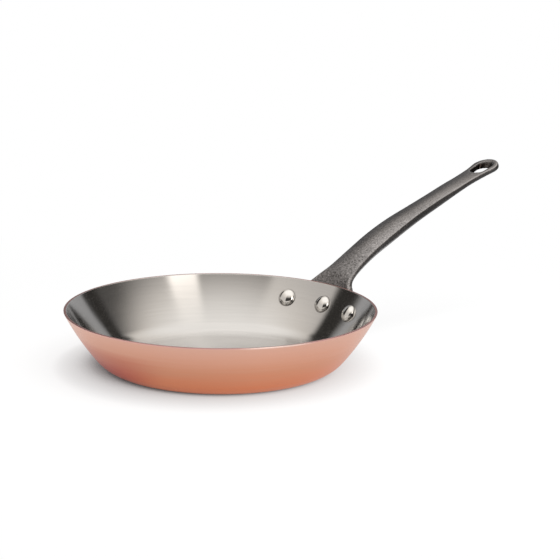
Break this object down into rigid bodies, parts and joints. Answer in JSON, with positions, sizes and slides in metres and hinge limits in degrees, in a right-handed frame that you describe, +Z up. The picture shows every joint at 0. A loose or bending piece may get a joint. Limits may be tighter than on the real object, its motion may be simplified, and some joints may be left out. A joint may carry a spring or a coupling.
{
  "type": "frying pan",
  "caption": "Shallow round frying pan with flared walls, copper outside and steel lined, and a long riveted cast-iron handle with a hanging hole.",
  "frame": {"origin": "centre of the base's underside, on the surface that the pan stands on", "axes": "+Z up along the pan's axis, +X along the handle, away from the pan"},
  "size_m": [0.4335, 0.24, 0.1261],
  "materials": {
    "copper": "satin copper, brushed round the axis",
    "brushed_lining": "brushed round the axis",
    "cast_handle": "grainy as cast, lightly blackened",
    "polished_rivet": "polished steel"
  },
  "bodies": {
    "root": {"copper_body": "copper", "steel_lining": "brushed_lining", "handle": "cast_handle", "rivet_left": "polished_rivet", "rivet_centre": "polished_rivet", "rivet_right": "polished_rivet"}
  },
  "joints": []
}
